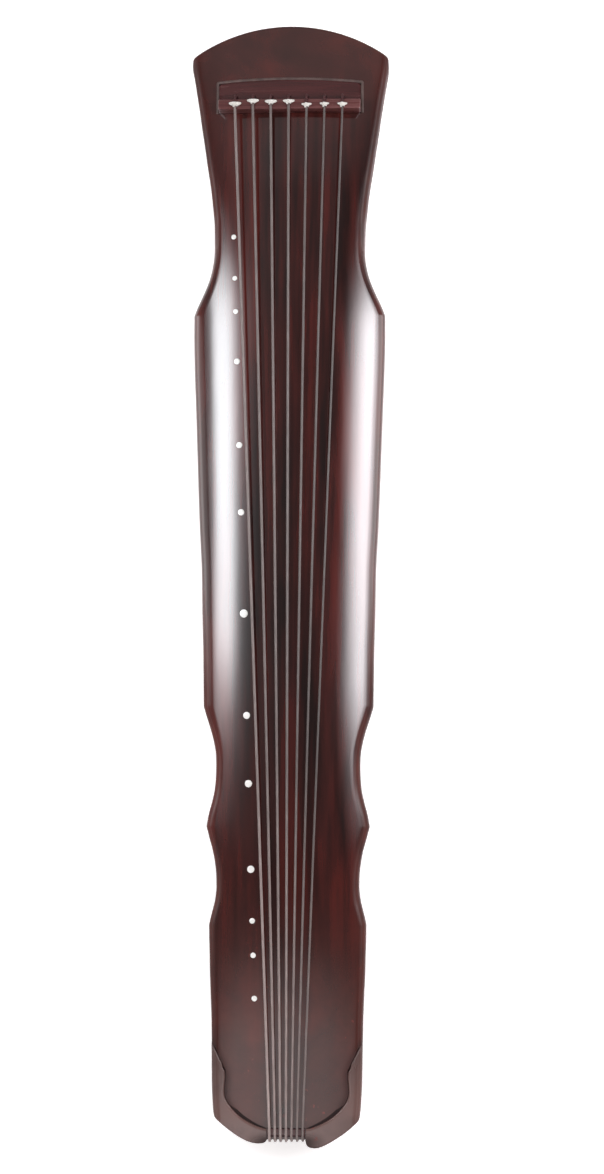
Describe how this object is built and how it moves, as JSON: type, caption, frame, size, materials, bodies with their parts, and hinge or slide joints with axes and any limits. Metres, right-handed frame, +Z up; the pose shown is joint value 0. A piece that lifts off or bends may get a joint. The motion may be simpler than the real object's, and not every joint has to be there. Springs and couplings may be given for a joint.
{
  "type": "guqin",
  "caption": "Seven-string board zither on two feet, with an arched soundboard, thirteen inlaid position markers and turning pegs under its head.",
  "frame": {"origin": "middle of the bottom of the object's box, on the plane that its feet and peg guards stand on", "axes": "+X towards the head, +Y towards the marker side (away from the player), +Z up"},
  "size_m": [1.2243, 0.217, 0.0958],
  "materials": {
    "lacquer": "glossy dark maroon-brown lacquer with long streaks",
    "lacquer_underside": "satin dark maroon-brown lacquer",
    "lacquer_lip": "glossy brown lacquer over hardwood",
    "hardwood": "polished dark red hardwood",
    "bridge_wood": "polished red-brown hardwood",
    "edging": "satin grey-brown edging",
    "raw_wood": "unfinished wood",
    "shell": "polished mother-of-pearl",
    "string": "smooth wound string",
    "silk": "twisted dark red silk",
    "peg_wood": "polished turned hardwood"
  },
  "bodies": {
    "root": {"soundboard": "lacquer", "back_board": "lacquer_underside", "bridge": "bridge_wood", "dew_collector": "hardwood", "dew_collector_edging": "edging", "peg_pool_board": "hardwood", "dragon_gum": "hardwood", "lower_gum": "hardwood", "crown_corner_left": "lacquer_lip", "crown_corner_right": "lacquer_lip", "tail_rest": "hardwood", "phoenix_tongue": "hardwood", "dragon_pool_ring": "hardwood", "phoenix_pool_ring": "hardwood", "heaven_post": "raw_wood", "earth_post": "raw_wood", "goose_foot_left": "hardwood", "goose_foot_right": "hardwood", "foot_socket_left": "hardwood", "foot_socket_right": "hardwood", "peg_guard_left": "hardwood", "peg_guard_right": "hardwood", "hui_1": "shell", "hui_2": "shell", "hui_3": "shell", "hui_4": "shell", "hui_5": "shell", "hui_6": "shell", "hui_7": "shell", "hui_8": "shell", "hui_9": "shell", "hui_10": "shell", "hui_11": "shell", "hui_12": "shell", "hui_13": "shell", "string_1": "string", "string_2": "string", "string_3": "string", "string_4": "string", "string_5": "string", "string_6": "string", "string_7": "string", "tuning_cord_1": "silk", "tuning_cord_2": "silk", "tuning_cord_3": "silk", "tuning_cord_4": "silk", "tuning_cord_5": "silk", "tuning_cord_6": "silk", "tuning_cord_7": "silk"},
    "peg_1": {"tuning_peg_1": "peg_wood"},
    "peg_2": {"tuning_peg_2": "peg_wood"},
    "peg_3": {"tuning_peg_3": "peg_wood"},
    "peg_4": {"tuning_peg_4": "peg_wood"},
    "peg_5": {"tuning_peg_5": "peg_wood"},
    "peg_6": {"tuning_peg_6": "peg_wood"},
    "peg_7": {"tuning_peg_7": "peg_wood"}
  },
  "joints": [
    {"name": "tuning_peg_1_turn", "type": "hinge", "parent": "root", "child": "peg_1", "pos_m": [0.532, 0.0592, 0.022], "axis": [0, 0, 1], "continuous": true},
    {"name": "tuning_peg_2_turn", "type": "hinge", "parent": "root", "child": "peg_2", "pos_m": [0.532, 0.0396, 0.022], "axis": [0, 0, 1], "continuous": true},
    {"name": "tuning_peg_3_turn", "type": "hinge", "parent": "root", "child": "peg_3", "pos_m": [0.532, 0.02, 0.022], "axis": [0, 0, 1], "continuous": true},
    {"name": "tuning_peg_4_turn", "type": "hinge", "parent": "root", "child": "peg_4", "pos_m": [0.532, 0.0004, 0.022], "axis": [0, 0, 1], "continuous": true},
    {"name": "tuning_peg_5_turn", "type": "hinge", "parent": "root", "child": "peg_5", "pos_m": [0.532, -0.0192, 0.022], "axis": [0, 0, 1], "continuous": true},
    {"name": "tuning_peg_6_turn", "type": "hinge", "parent": "root", "child": "peg_6", "pos_m": [0.532, -0.0388, 0.022], "axis": [0, 0, 1], "continuous": true},
    {"name": "tuning_peg_7_turn", "type": "hinge", "parent": "root", "child": "peg_7", "pos_m": [0.532, -0.0584, 0.022], "axis": [0, 0, 1], "continuous": true}
  ]
}
